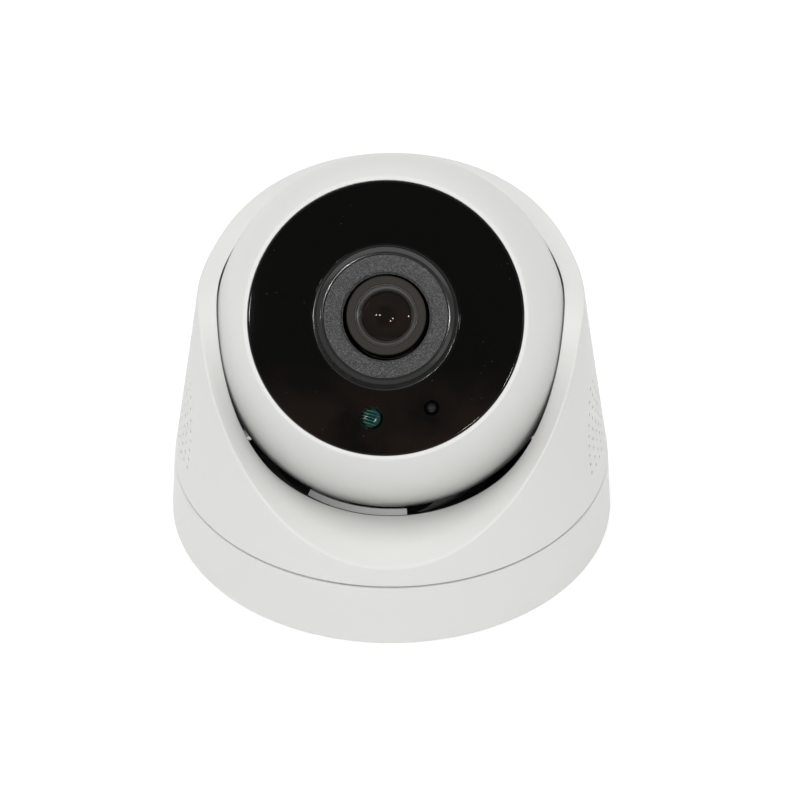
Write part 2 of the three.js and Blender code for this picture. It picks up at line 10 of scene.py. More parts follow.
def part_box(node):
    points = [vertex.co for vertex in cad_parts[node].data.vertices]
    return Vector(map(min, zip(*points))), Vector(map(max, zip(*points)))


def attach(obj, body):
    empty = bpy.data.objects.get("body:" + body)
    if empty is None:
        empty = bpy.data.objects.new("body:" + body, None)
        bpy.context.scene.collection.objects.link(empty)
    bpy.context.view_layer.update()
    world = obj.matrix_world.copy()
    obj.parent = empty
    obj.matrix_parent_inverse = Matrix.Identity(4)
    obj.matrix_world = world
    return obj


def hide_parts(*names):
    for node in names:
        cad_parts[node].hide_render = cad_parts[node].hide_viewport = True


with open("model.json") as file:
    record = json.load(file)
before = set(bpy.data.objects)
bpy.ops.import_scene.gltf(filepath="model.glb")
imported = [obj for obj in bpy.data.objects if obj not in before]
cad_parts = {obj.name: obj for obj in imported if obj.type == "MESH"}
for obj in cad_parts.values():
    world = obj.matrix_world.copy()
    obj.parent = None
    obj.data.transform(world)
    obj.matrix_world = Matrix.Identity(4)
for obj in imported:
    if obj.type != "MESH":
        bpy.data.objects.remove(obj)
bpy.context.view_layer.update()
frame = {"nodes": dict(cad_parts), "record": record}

bl_info = {
    "name": "Turret security camera",
    "version": (1, 0, 0),
    "blender": (4, 5, 0),
    "location": "View3D > Sidebar > Turret camera",
    "description": "Builds a turret security camera around its packed frame",
    "category": "Object",
}

MM = 0.001
JOINTS = {joint["name"]: joint for joint in frame["record"]["behaviour"]["joints"]}
BALL_CENTRE = Vector(JOINTS["pan"]["pos_m"])
LENS_AXIS = Vector(JOINTS["roll"]["axis"]).normalized()
ACROSS = -Vector(JOINTS["tilt"]["axis"]).normalized()
UP_FACE = LENS_AXIS.cross(ACROSS)
LENS_TURN = Matrix((ACROSS, UP_FACE, LENS_AXIS)).transposed()
LENS_FRAME = Matrix.Translation(BALL_CENTRE) @ LENS_TURN.to_4x4()
LENS_RISE = Matrix.Translation((0, 0.7 * MM, 0))
SHROUD_RISE = Matrix.Translation((0, 0.35 * MM, 0))
RAISED_LENS = LENS_FRAME @ LENS_RISE
RAISED_SHROUD = LENS_FRAME @ SHROUD_RISE


def width_of(node):
    low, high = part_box(node)
    return high.x - low.x


# ---------------------------------------------------------------- settings


class TurretSizes(bpy.types.PropertyGroup):
    base_radius: FloatProperty(
        name="Base radius", description="Radius of the mounting face", subtype="DISTANCE",
        unit="LENGTH", default=width_of("mounting_base") / 2)
    ball_radius: FloatProperty(
        name="Ball radius", description="Radius of the ball-shaped head", subtype="DISTANCE",
        unit="LENGTH", default=0.03638)
    window_radius: FloatProperty(
        name="Window radius", description="Radius of the dark front window", subtype="DISTANCE",
        unit="LENGTH", default=0.02708)
    edge_round: FloatProperty(
        name="Edge rounding", description="Rounding of the moulded edges", subtype="DISTANCE",
        unit="LENGTH", default=0.0004)
    turn_steps: IntProperty(
        name="Turning steps", description="Facets round a large turned piece", default=192, min=48)


class TurretFinishes(bpy.types.PropertyGroup):
    housing: FloatVectorProperty(
        name="Housing", description="Colour of the white mouldings", subtype="COLOR",
        size=3, min=0, max=1, default=(0.7, 0.7, 0.684))
    window: FloatVectorProperty(
        name="Window", description="Colour of the smoked window", subtype="COLOR",
        size=3, min=0, max=1, default=(0.0035, 0.0034, 0.0032))
    grain: FloatVectorProperty(
        name="Grained ring", description="Colour of the grained ring round the lens", subtype="COLOR",
        size=3, min=0, max=1, default=(0.042, 0.042, 0.043))
    light_sensor: FloatVectorProperty(
        name="Light sensor", description="Colour of the light sensor's cap", subtype="COLOR",
        size=3, min=0, max=1, default=(0.002, 0.014, 0.0115))


def sizes():
    return bpy.context.scene.turret_sizes


def finishes():
    return bpy.context.scene.turret_finishes


# ---------------------------------------------------------------- mesh helpers


def rounded(outline, closed, steps=5):
    """Rounds the corners of an outline of (r, z) or (r, z, radius) in millimetres."""
    points = []
    count = len(outline)
    for i, entry in enumerate(outline):
        here = Vector(entry[:2])
        radius = entry[2] if len(entry) > 2 else 0
        if radius == 0 or (not closed and i in (0, count - 1)):
            points.append(here)
            continue
        before = Vector(outline[i - 1][:2])
        after = Vector(outline[(i + 1) % count][:2])
        reach_in = min(radius, (before - here).length * 0.45)
        reach_out = min(radius, (after - here).length * 0.45)
        start = here + (before - here).normalized() * reach_in
        end = here + (after - here).normalized() * reach_out
        for k in range(steps + 1):
            t = k / steps
            points.append(start * (1 - t) ** 2 + here * 2 * t * (1 - t) + end * t ** 2)
    return points


def arc(radius, start, stop, steps, height=0.0):
    """Points on a circle about the axis, angles in degrees from the outward direction."""
    points = []
    for i in range(steps + 1):
        angle = math.radians(start + (stop - start) * i / steps)
        points.append((radius * math.cos(angle), height + radius * math.sin(angle)))
    return points


def turned(outline, steps=96, closed=True, soft=5, sweep=360.0, start=0.0):
    """A body turned about Z from an outline in millimetres; sweep under 360 leaves a capped sector."""
    points = rounded(outline, closed, soft)
    bm = bmesh.new()
    turn = Matrix.Rotation(math.radians(start), 3, "Z")
    verts = [bm.verts.new(turn @ Vector((0, -p.x, p.y)) * MM) for p in points]
    edges = [bm.edges.new(pair) for pair in zip(verts, verts[1:])]
    if closed:
        edges.append(bm.edges.new((verts[-1], verts[0])))
    whole = sweep >= 360
    made = bmesh.ops.spin(
        bm, geom=verts + edges, cent=(0, 0, 0), axis=(0, 0, 1), angle=math.radians(sweep),
        steps=steps, use_merge=whole, use_normal_flip=False)
    if not whole:
        bmesh.ops.edgeloop_fill(bm, edges=edges)
        last = [g for g in made["geom_last"] if isinstance(g, bmesh.types.BMEdge)]
        bmesh.ops.edgeloop_fill(bm, edges=last)
    without_slivers(bm, 2e-6)
    bmesh.ops.recalc_face_normals(bm, faces=bm.faces)
    return bm


def without_slivers(bm, reach):
    """Merges points closer than reach, in metres, and drops faces with no width."""
    bmesh.ops.remove_doubles(bm, verts=bm.verts, dist=reach)
    bmesh.ops.dissolve_degenerate(bm, edges=bm.edges, dist=1e-7)


def block(size, centre):
    """A box in millimetres, used as a cutter."""
    bm = bmesh.new()
    place = Matrix.Translation(Vector(centre) * MM) @ Matrix.Diagonal((*[s * MM for s in size], 1))
    bmesh.ops.create_cube(bm, size=1, matrix=place)
    return bm


def moved(bm, matrix):
    bmesh.ops.transform(bm, matrix=matrix, verts=bm.verts)
    return bm


def gathered(meshes):
    """Several meshes as one, each freed after it is copied."""
    whole = bmesh.new()
    for bm in meshes:
        held = bpy.data.meshes.new("held")
        bm.to_mesh(held)
        bm.free()
        whole.from_mesh(held)
        bpy.data.meshes.remove(held)
    return whole


def object_from(bm, name):
    mesh = bpy.data.meshes.new(name)
    bm.to_mesh(mesh)
    bm.free()
    piece = bpy.data.objects.new(name, mesh)
    bpy.context.scene.collection.objects.link(piece)
    return piece


def solid_edit(piece, tool, operation):
    """Cuts or joins another mesh with a piece, and keeps the result as its mesh."""
    cutter = object_from(tool, piece.name + "_tool")
    step = piece.modifiers.new("Edit", "BOOLEAN")
    step.object = cutter
    step.operation = operation
    step.solver = "EXACT"
    bpy.context.view_layer.update()
    graph = bpy.context.evaluated_depsgraph_get()
    result = bpy.data.meshes.new_from_object(piece.evaluated_get(graph))
    if not result.polygons:
        raise RuntimeError(f"nothing is left of {piece.name}")
    bm = bmesh.new()
    bm.from_mesh(result)
    without_slivers(bm, 1e-6)
    bm.to_mesh(result)
    bm.free()
    piece.modifiers.clear()
    old = piece.data
    piece.data = result
    bpy.data.meshes.remove(old)
    bpy.data.objects.remove(cutter)


def finished(piece, body, material, nodes, crease=32.0):
    """Smooths a piece, gives it its material and joins it to a body of the frame."""
    for polygon in piece.data.polygons:
        polygon.use_smooth = True
    piece.data.set_sharp_from_angle(angle=math.radians(crease))
    piece.data.materials.clear()
    piece.data.materials.append(material)
    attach(piece, body)
    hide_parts(*nodes)
    return piece


def make(name, bm, body, material, nodes, crease=32.0):
    return finished(object_from(bm, name), body, material, nodes, crease)


def polar(radius, degrees):
    """A point at an angle from the front towards +X."""
    angle = math.radians(degrees)
    return Vector((radius * math.sin(angle), -radius * math.cos(angle), 0))


def round_the_circle(outline, circle, angles):
    """The same small turned body at several angles on a circle about the axis."""
    return [moved(turned(outline, 32, False), Matrix.Translation(polar(circle, angle) * MM))
            for angle in angles]


def made_once(build):
    """Keeps one copy of a material or node group, however many pieces use it."""
    kept = {}

    def fetch():
        if "made" not in kept:
            kept["made"] = build()
        return kept["made"]

    return fetch


# ---------------------------------------------------------------- shader groups


def group(name, inputs, outputs):
    """A new shader node group with float inputs and named outputs."""
    tree = bpy.data.node_groups.new(name, "ShaderNodeTree")
    for label, default in inputs:
        socket = tree.interface.new_socket(name=label, in_out="INPUT", socket_type="NodeSocketFloat")
        socket.default_value = default
    for label, kind in outputs:
        tree.interface.new_socket(name=label, in_out="OUTPUT", socket_type=kind)
    nodes, links = tree.nodes, tree.links
    return tree, nodes, links, nodes.new("NodeGroupInput"), nodes.new("NodeGroupOutput")


def fed(links, socket, value):
    """Sets a socket to a number, or links another socket to it."""
    if isinstance(value, (int, float)):
        socket.default_value = value
    else:
        links.new(value, socket)


def maths(nodes, links, operation, *values):
    node = nodes.new("ShaderNodeMath")
    node.operation = operation
    for socket, value in zip(node.inputs, values):
        fed(links, socket, value)
    return node.outputs[0]


def noise(nodes, links, coordinates, scale, detail=3.0, roughness=0.55):
    node = nodes.new("ShaderNodeTexNoise")
    node.inputs["Detail"].default_value = detail
    node.inputs["Roughness"].default_value = roughness
    links.new(coordinates, node.inputs["Vector"])
    fed(links, node.inputs["Scale"], scale)
    return node.outputs["Fac"]


def spread(nodes, links, value, low, high, out_low, out_high):
    """Maps the range low to high onto out_low to out_high."""
    node = nodes.new("ShaderNodeMapRange")
    for label, number in (
            ("From Min", low), ("From Max", high), ("To Min", out_low), ("To Max", out_high)):
        fed(links, node.inputs[label], number)
    links.new(value, node.inputs["Value"])
    return node.outputs["Result"]


@made_once
def moulded_skin():
    """Fine moulded texture: broad tone drift, a fine spark-etched grain and a roughness that follows both."""
    tree, nodes, links, gin, gout = group(
        "Moulded skin",
        [("Grain Scale", 2600.0), ("Drift", 0.04), ("Roughness Low", 0.36), ("Roughness High", 0.46)],
        [("Tone", "NodeSocketFloat"), ("Roughness", "NodeSocketFloat"), ("Height", "NodeSocketFloat")])
    place = nodes.new("ShaderNodeTexCoord").outputs["Object"]
    fine = noise(nodes, links, place, gin.outputs["Grain Scale"], 2.0)
    broad = noise(nodes, links, place, 34.0, 4.0)
    half_drift = maths(nodes, links, "MULTIPLY", gin.outputs["Drift"], -0.5)
    offset = maths(nodes, links, "MULTIPLY_ADD", broad, gin.outputs["Drift"], half_drift)
    links.new(maths(nodes, links, "ADD", offset, 1.0), gout.inputs["Tone"])
    blend = maths(nodes, links, "ADD", maths(nodes, links, "MULTIPLY", broad, 0.5),
                  maths(nodes, links, "MULTIPLY", fine, 0.5))
    links.new(spread(nodes, links, blend, 0.35, 0.65, gin.outputs["Roughness Low"],
                     gin.outputs["Roughness High"]), gout.inputs["Roughness"])
    links.new(fine, gout.inputs["Height"])
    return tree


@made_once
def coarse_grain():
    """Sandy grain of a moulded baffle: packed specks with a few bright crests."""
    tree, nodes, links, gin, gout = group(
        "Coarse grain", [("Grain Scale", 2400.0), ("Contrast", 0.9)],
        [("Tone", "NodeSocketFloat"), ("Height", "NodeSocketFloat")])
    place = nodes.new("ShaderNodeTexCoord").outputs["Object"]
    cells = nodes.new("ShaderNodeTexVoronoi")
    links.new(place, cells.inputs["Vector"])
    links.new(gin.outputs["Grain Scale"], cells.inputs["Scale"])
    fine = noise(nodes, links, place, gin.outputs["Grain Scale"], 3.0, 0.7)
    mixed = maths(nodes, links, "ADD", maths(nodes, links, "MULTIPLY", cells.outputs["Distance"], 0.6),
                  maths(nodes, links, "MULTIPLY", fine, 0.6))
    centred = maths(nodes, links, "SUBTRACT", mixed, 0.55)
    swing = maths(nodes, links, "MULTIPLY", centred, gin.outputs["Contrast"])
    links.new(maths(nodes, links, "ADD", swing, 1.0), gout.inputs["Tone"])
    links.new(mixed, gout.inputs["Height"])
    return tree


@made_once
def dust():
    """Sparse fine dust specks as a mask."""
    tree, nodes, links, gin, gout = group(
        "Dust specks", [("Speck Scale", 700.0), ("Speck Size", 0.09), ("Share", 0.6)],
        [("Mask", "NodeSocketFloat")])
    place = nodes.new("ShaderNodeTexCoord").outputs["Object"]
    cells = nodes.new("ShaderNodeTexVoronoi")
    links.new(place, cells.inputs["Vector"])
    links.new(gin.outputs["Speck Scale"], cells.inputs["Scale"])
    near = maths(nodes, links, "LESS_THAN", cells.outputs["Distance"], gin.outputs["Speck Size"])
    patch = maths(nodes, links, "GREATER_THAN", noise(nodes, links, place, 160.0, 2.0), gin.outputs["Share"])
    links.new(maths(nodes, links, "MULTIPLY", near, patch), gout.inputs["Mask"])
    return tree


# ---------------------------------------------------------------- materials


class Finish:
    """A material under construction: its nodes, its links and its Principled shader."""

    def __init__(self, name, color, roughness=0.5, metallic=0.0, specular=0.5, coat=0.0, coat_roughness=0.03):
        self.material = bpy.data.materials.new(name)
        self.material.use_nodes = True
        self.nodes = self.material.node_tree.nodes
        self.links = self.material.node_tree.links
        self.shader = self.nodes["Principled BSDF"]
        values = {
            "Base Color": (*color, 1.0), "Roughness": roughness, "Metallic": metallic,
            "Specular IOR Level": specular, "Coat Weight": coat, "Coat Roughness": coat_roughness}
        for label, value in values.items():
            self.shader.inputs[label].default_value = value
        self.material.diffuse_color = (*color, 1.0)
        self.color = color

    def effect(self, tree, **values):
        node = self.nodes.new("ShaderNodeGroup")
        node.node_tree = tree
        for label, value in values.items():
            node.inputs[label.replace("_", " ")].default_value = value
        return node.outputs

    def place(self):
        return self.nodes.new("ShaderNodeTexCoord").outputs["Object"]

    def toned(self, tone, color=None):
        """Multiplies a colour by a tone that varies over the surface."""
        scale = self.nodes.new("ShaderNodeVectorMath")
        scale.operation = "SCALE"
        scale.inputs[0].default_value = color or self.color
        self.links.new(tone, scale.inputs["Scale"])
        self.links.new(scale.outputs[0], self.shader.inputs["Base Color"])
        return scale.outputs[0]

    def mixed(self, factor, first, second, into="Base Color"):
        mix = self.nodes.new("ShaderNodeMix")
        mix.data_type = "RGBA"
        self.links.new(factor, mix.inputs["Factor"])
        for socket, value in ((mix.inputs["A"], first), (mix.inputs["B"], second)):
            if isinstance(value, tuple):
                socket.default_value = (*value, 1.0)
            else:
                self.links.new(value, socket)
        if into:
            self.links.new(mix.outputs["Result"], self.shader.inputs[into])
        return mix.outputs["Result"]

    def bumped(self, height, strength, distance):
        bump = self.nodes.new("ShaderNodeBump")
        bump.inputs["Strength"].default_value = strength
        bump.inputs["Distance"].default_value = distance
        self.links.new(height, bump.inputs["Height"])
        self.links.new(bump.outputs["Normal"], self.shader.inputs["Normal"])

    def feed(self, value, label):
        self.links.new(value, self.shader.inputs[label])

    def skinned(self, grain, drift, low, high):
        """Lets the moulded skin vary the tone and the roughness, and gives back its outputs."""
        skin = self.effect(
            moulded_skin(), Grain_Scale=grain, Drift=drift, Roughness_Low=low, Roughness_High=high)
        self.toned(skin["Tone"])
        self.feed(skin["Roughness"], "Roughness")
        return skin

    def lens_place(self):
        """Coordinates about the ball's centre, X across the window, Y up it and Z out of it."""
        turn = self.nodes.new("ShaderNodeMapping")
        turn.inputs["Rotation"].default_value = LENS_TURN.transposed().to_euler()
        turn.inputs["Location"].default_value = -(LENS_TURN.transposed() @ BALL_CENTRE)
        self.links.new(self.place(), turn.inputs["Vector"])
        split = self.nodes.new("ShaderNodeSeparateXYZ")
        self.links.new(turn.outputs["Vector"], split.inputs["Vector"])
        return turn.outputs["Vector"], split.outputs


def moulded(name, color, low, high, grain=2600.0, drift=0.03, strength=0.12, specular=0.5):
    finish = Finish(name, color, (low + high) / 2, specular=specular)
    skin = finish.skinned(grain, drift, low, high)
    finish.bumped(skin["Height"], strength, 0.00004)
    return finish


@made_once
def white_plastic():
    return moulded("White moulding", tuple(finishes().housing), 0.36, 0.48).material


@made_once
def black_plastic():
    return moulded("Black moulding", (0.012, 0.012, 0.012), 0.45, 0.6, drift=0.3).material


@made_once
def dark_plastic():
    return moulded("Dark moulding", (0.1, 0.096, 0.09), 0.5, 0.65, drift=0.2).material


@made_once
def rubber():
    return moulded("Rubber", (0.016, 0.016, 0.016), 0.62, 0.8, grain=1500.0, drift=0.4,
                   strength=0.3, specular=0.3).material


@made_once
def foam():
    finish = Finish("Closed-cell foam", (0.02, 0.02, 0.021), 0.9, specular=0.2)
    cells = finish.effect(coarse_grain(), Grain_Scale=1300.0, Contrast=1.2)
    finish.toned(cells["Tone"])
    finish.bumped(cells["Height"], 0.6, 0.0003)
    return finish.material


@made_once
def slip_pad():
    return moulded("Slip pad", (0.9, 0.9, 0.88), 0.55, 0.7, grain=1800.0, drift=0.12).material


@made_once
def smoked_window():
    """Gloss black, a little browner and patchy at its lower end, with sparse dust."""
    finish = Finish("Smoked window", tuple(finishes().window), 0.045, specular=0.32)
    place, split = finish.lens_place()
    lower = spread(finish.nodes, finish.links, split["Y"], -0.009, -0.02, 0.0, 1.0)
    patches = noise(finish.nodes, finish.links, place, 90.0, 3.0)
    share = maths(finish.nodes, finish.links, "MULTIPLY", lower,
                  spread(finish.nodes, finish.links, patches, 0.35, 0.6, 0.15, 1.0))
    behind = finish.mixed(share, finish.color, (0.0115, 0.0078, 0.0062), None)
    specks = finish.effect(dust(), Speck_Scale=900.0, Speck_Size=0.07, Share=0.58)
    finish.mixed(specks["Mask"], behind, (0.05, 0.05, 0.048))
    finish.feed(spread(finish.nodes, finish.links, specks["Mask"], 0, 1, 0.045, 0.4), "Roughness")
    return finish.material


@made_once
def polished_black():
    finish = Finish("Polished black", (0.01, 0.01, 0.0095), 0.12, specular=0.7)
    finish.skinned(900.0, 0.3, 0.1, 0.18)
    return finish.material


@made_once
def grained_ring():
    finish = Finish("Grained baffle", tuple(finishes().grain), 0.4, specular=0.9)
    grain = finish.effect(coarse_grain(), Grain_Scale=3300.0, Contrast=4.4)
    finish.toned(grain["Tone"])
    finish.bumped(grain["Height"], 0.9, 0.0004)
    return finish.material


@made_once
def lens_face():
    return moulded("Lens body", (0.024, 0.0205, 0.017), 0.42, 0.6, drift=0.5, strength=0.5,
                   specular=0.28).material


@made_once
def lens_trim():
    return moulded("Lens trim", (0.036, 0.033, 0.03), 0.16, 0.26, grain=900.0, drift=0.2, strength=0.03,
                   specular=1.0).material


@made_once
def coated_glass():
    finish = Finish("Coated glass", (0.008, 0.0068, 0.0052), 0.02, specular=0.11)
    finish.shader.inputs["Specular Tint"].default_value = (1.0, 0.82, 0.86, 1)
    depth = noise(finish.nodes, finish.links, finish.place(), 210.0, 2.0)
    finish.mixed(spread(finish.nodes, finish.links, depth, 0.4, 0.66, 0.0, 1.0),
                 (0.0075, 0.0066, 0.0052), (0.012, 0.0078, 0.0058))
    return finish.material


@made_once
def filter_glass():
    finish = Finish("Filter glass", (0.25, 0.05, 0.07), 0.04, coat=0.5)
    rim = finish.nodes.new("ShaderNodeLayerWeight")
    finish.mixed(rim.outputs["Facing"], (0.25, 0.05, 0.07), (0.03, 0.2, 0.16))
    return finish.material


@made_once
def solder_mask():
    finish = Finish("Solder mask", (0.012, 0.09, 0.035), 0.3, coat=0.3)
    lines = finish.nodes.new("ShaderNodeTexBrick")
    finish.links.new(finish.place(), lines.inputs["Vector"])
    for label, value in (("Scale", 320.0), ("Mortar Size", 0.03), ("Bias", -0.4)):
        lines.inputs[label].default_value = value
    lines.inputs["Color1"].default_value = (0.012, 0.09, 0.035, 1)
    lines.inputs["Color2"].default_value = (0.01, 0.075, 0.03, 1)
    lines.inputs["Mortar"].default_value = (0.03, 0.16, 0.06, 1)
    finish.feed(lines.outputs["Color"], "Base Color")
    finish.bumped(lines.outputs["Fac"], 0.2, 0.00003)
    return finish.material


@made_once
def chip_black():
    finish = moulded("Chip", (0.03, 0.05, 0.07), 0.15, 0.3, grain=1200.0, drift=0.3)
    finish.shader.inputs["Coat Weight"].default_value = 0.8
    return finish.material


def metal(name, color, low, high):
    finish = Finish(name, color, (low + high) / 2, metallic=1.0)
    skin = finish.skinned(1900.0, 0.12, low, high)
    finish.bumped(skin["Height"], 0.15, 0.00002)
    return finish.material


@made_once
def brass():
    return metal("Turned brass", (0.69, 0.5, 0.22), 0.25, 0.4)


@made_once
def steel():
    return metal("Plated steel", (0.56, 0.57, 0.58), 0.25, 0.4)


@made_once
def sensor_cap():
    """The light sensor: a meandering track on a teal face under a clear cap."""
    teal = tuple(finishes().light_sensor)
    finish = Finish("Light sensor", teal, 0.08, specular=0.35)
    place, split = finish.lens_place()
    tilt = finish.nodes.new("ShaderNodeMapping")
    tilt.inputs["Rotation"].default_value = (0, 0, math.radians(14))
    finish.links.new(place, tilt.inputs["Vector"])
    bands = finish.nodes.new("ShaderNodeTexWave")
    bands.bands_direction = "Y"
    bands.inputs["Scale"].default_value = 520.0
    bands.inputs["Distortion"].default_value = 1.2
    finish.links.new(tilt.outputs["Vector"], bands.inputs["Vector"])
    side = spread(finish.nodes, finish.links, split["X"], -0.0024, -0.0008, 1.0, 0.15)
    track = spread(finish.nodes, finish.links, bands.outputs["Fac"], 0.8, 0.95, 0.0, 1.0)
    face = finish.mixed(side, (teal[0] * 2.2, teal[1] * 2.4, teal[2] * 2.8), teal, None)
    finish.mixed(maths(finish.nodes, finish.links, "MULTIPLY", track, side), face, (0.05, 0.15, 0.11))
    finish.bumped(bands.outputs["Fac"], 0.15, 0.00005)
    return finish.material


@made_once
def smoked_lamp():
    finish = Finish("Smoked lamp", (0.006, 0.0045, 0.005), 0.1, specular=0.35)
    # Painted sheen: the dome's colour lightens towards its edges as they turn away from the view, in place of
    # a real reflection.
    rim = finish.nodes.new("ShaderNodeLayerWeight")
    finish.mixed(rim.outputs["Facing"], (0.004, 0.004, 0.005), (0.012, 0.011, 0.012))
    return finish.material


# ---------------------------------------------------------------- mounting base

# Sizes from here on are in millimetres and degrees, heights from the mounting face.
RIM_TOP = 13.5
COVER_LOW = 13.9
FLOOR_TOP = 2.5
GASKET_INNER = 26
GASKET_OUTER = 33
GASKET_DEPTH = 1
BOSS_CIRCLE = 36.2
BOSS_TOP = 5.9
BOSS_RADIUS = 2.4
BOSS_BORE = 1.6
WALL_HOLE = 2.3
BOSS_ANGLES = (60, 180, 300)
SCREW_TURN = 7
SCREW_TURN_STEP = 40
LOCK_HEIGHT = 7
LOCK_BORE = 1.5
HOLE_ANGLES = (0, 120, 240)
TAB_ANGLES = (30, 150, 270)
TWIST = 16
SEAL_INNER = 44.4
SEAL_OUTER = 45.3
SEAL_DEPTH = 0.7
FLANGE_THICK = 2.3
CABLE_HOLE = 9.0
FINE = 192


def lock_place(depth):
    """The lock screw's place, this far out along the back of the base."""
    spot = Vector((0, depth, LOCK_HEIGHT)) * MM
    return Matrix.Translation(spot) @ Matrix.Rotation(math.radians(-90), 4, "X")


def mounting_base():
    radius = sizes().base_radius / MM
    rim = radius - 1.7
    bore = radius - 3.5
    flange = bore - 2.4
    edge = sizes().edge_round / MM
    outline = [
        (CABLE_HOLE, 0, 0.2), (GASKET_INNER, 0, 0.15), (GASKET_INNER, GASKET_DEPTH),
        (GASKET_OUTER, GASKET_DEPTH), (GASKET_OUTER, 0, 0.15),
        (radius, 0, 0.35), (rim + 0.47, RIM_TOP, edge * 2.2), (SEAL_OUTER, RIM_TOP - 0.02, 0.1),
        (SEAL_OUTER, RIM_TOP - SEAL_DEPTH), (SEAL_INNER, RIM_TOP - SEAL_DEPTH), (SEAL_INNER, RIM_TOP, 0.1),
        (flange, RIM_TOP, 0.3), (flange, RIM_TOP - FLANGE_THICK, 0.2), (bore, RIM_TOP - FLANGE_THICK, 0.2),
        (bore, FLOOR_TOP, 0.6), (CABLE_HOLE, FLOOR_TOP, 0.2)]
    piece = object_from(turned(outline, sizes().turn_steps), "mounting_base_fine")
    boss = [(0, 2), (BOSS_RADIUS, 2), (BOSS_RADIUS, BOSS_TOP, 0.2), (0, BOSS_TOP)]
    solid_edit(piece, gathered(round_the_circle(boss, BOSS_CIRCLE, BOSS_ANGLES)), "UNION")
    bore_low = FLOOR_TOP + 0.5
    boss_bore = [(0, bore_low), (BOSS_BORE, bore_low), (BOSS_BORE, 8), (0, 8)]
    drills = round_the_circle(boss_bore, BOSS_CIRCLE, BOSS_ANGLES)
    wall_hole = [(0, -1), (WALL_HOLE, -1), (WALL_HOLE, 4), (0, 4)]
    drills += round_the_circle(wall_hole, BOSS_CIRCLE, HOLE_ANGLES)
    side = turned([(0, 0), (LOCK_BORE, 0), (LOCK_BORE, 12), (0, 12)], 32, False)
    drills.append(moved(side, lock_place(40)))
    gate = [(flange - 1, RIM_TOP - 3), (bore - 0.02, RIM_TOP - 3), (bore - 0.02, RIM_TOP + 1),
            (flange - 1, RIM_TOP + 1)]
    drills += [turned(gate, 10, sweep=16, start=a + TWIST - 8) for a in TAB_ANGLES]
    solid_edit(piece, gathered(drills), "DIFFERENCE")
    finished(piece, "base", white_plastic(), ["mounting_base"], 28)


def base_fittings():
    inner, outer = GASKET_INNER + 0.1, GASKET_OUTER - 0.1
    top = GASKET_DEPTH - 0.05
    outline = [(inner, 0, 0.1), (outer, 0, 0.1), (outer, top, 0.1), (inner, top, 0.1)]
    make("wall_gasket_fine", turned(outline, 96), "base", foam(), ["wall_gasket"])
    make("cover_seal_fine",
         turned([(SEAL_INNER + 0.1, 12.85), (SEAL_OUTER - 0.1, 12.85), (SEAL_OUTER - 0.1, 13.7, 0.25),
                 (SEAL_INNER + 0.1, 13.7, 0.25)], FINE), "base", rubber(), ["cover_seal"])
    outline = [(5.5, 0.3, 0.3), (8.9, 0.3, 0.2), (8.9, 2.55), (11, 2.55, 0.2), (10.4, 4, 0.5), (5.5, 4, 0.5)]
    make("cable_grommet_fine", turned(outline, 64), "base", rubber(), ["cable_grommet"])
    screw = turned([(0, 0), (1.4, 0, 0.2), (1.4, 3, 0.25), (0.8, 3), (0.7, 1.6), (0, 1.6)], 32, False)
    make("lock_screw_fine", moved(screw, lock_place(44.1)), "base", steel(), ["lock_screw"])
    for i, angle in enumerate(BOSS_ANGLES, 1):
        z = BOSS_TOP
        outline = [(0, 3.1), (1.5, 3.1), (1.5, z + 0.05), (3.6, z + 0.05, 0.15), (3.6, z + 1.0, 0.5),
                   (2.0, z + 1.9, 1.0), (0, z + 1.9)]
        spot = Matrix.Translation(polar(BOSS_CIRCLE, angle) * MM)
        piece = object_from(moved(turned(outline, 40, False), spot), f"retainer_screw_{i}_fine")
        turn = Matrix.Rotation(math.radians(SCREW_TURN + SCREW_TURN_STEP * i), 4, "Z")
        for slot in ((3.8, 0.8, 2), (0.8, 3.8, 2)):
            solid_edit(piece, moved(block(slot, (0, 0, z + 2.1)), spot @ turn), "DIFFERENCE")
        finished(piece, "base", steel(), [f"retainer_screw_{i}"])


# ---------------------------------------------------------------- pan ring

CENTRE_Z = BALL_CENTRE.z / MM
PAD_ANGLES = (-17.3, 102.7, 222.7)
PAD_HALF = 24.7
SEAT_REACH = 38.2
PAD_REACH = 36.8
RING_SIDE = 28.4
RING_FLANGE = 33.45
RING_LOW = 2.85


def under_ball(radius, start, stop, steps):
    """Points at a distance from the ball's centre, at angles from straight down."""
    return arc(radius, start - 90, stop - 90, steps, CENTRE_Z)


def pan_ring():
    outline = [(20.6, RING_LOW, 0.2), (RING_FLANGE, RING_LOW, 0.2), (RING_FLANGE, 5.5, 0.3),
               (RING_SIDE, 5.5, 0.4), (RING_SIDE, 15.6, 0.4)]
    outline += under_ball(SEAT_REACH, 43.2, 32.7, 8)
    make("pan_ring_fine", turned(outline, FINE), "pan_ring", dark_plastic(), ["pan_ring"])
    for i, angle in enumerate(PAD_ANGLES, 1):
        section = under_ball(SEAT_REACH - 0.06, 34, 42.5, 6) + under_ball(PAD_REACH, 42.5, 34, 6)
        bm = turned(section, 40, sweep=2 * PAD_HALF, start=angle - PAD_HALF)
        make(f"friction_pad_{i}_fine", bm, "pan_ring", slip_pad(), [f"friction_pad_{i}"])


# ---------------------------------------------------------------- cover

COVER_TURN = -1.17
COVER_WALL = 2.4
BALL_REACH = 36.4
SIDE_ROOM = 0.28
FRONT_ROOM = 1.84
DIP_DEPTH = 8.56
DIP_MIDDLE = 45.2
LIP_THICK = 1.4
CUT_PROFILE = [
    (-46, 17.50), (-30, 34.34), (-18, 45.92), (-12, 50.67), (-4, 53.22), (4, 54.25), (12, 55.82),
    (20, 58.78), (28, 61.36), (37, 63.57), (46, 65.0)]


def wall_radius(z):
    """Outer radius of the cover's tapered wall at a height."""
    up = z - COVER_LOW
    return 46.2 - 0.179 * up + 0.00014 * up * up


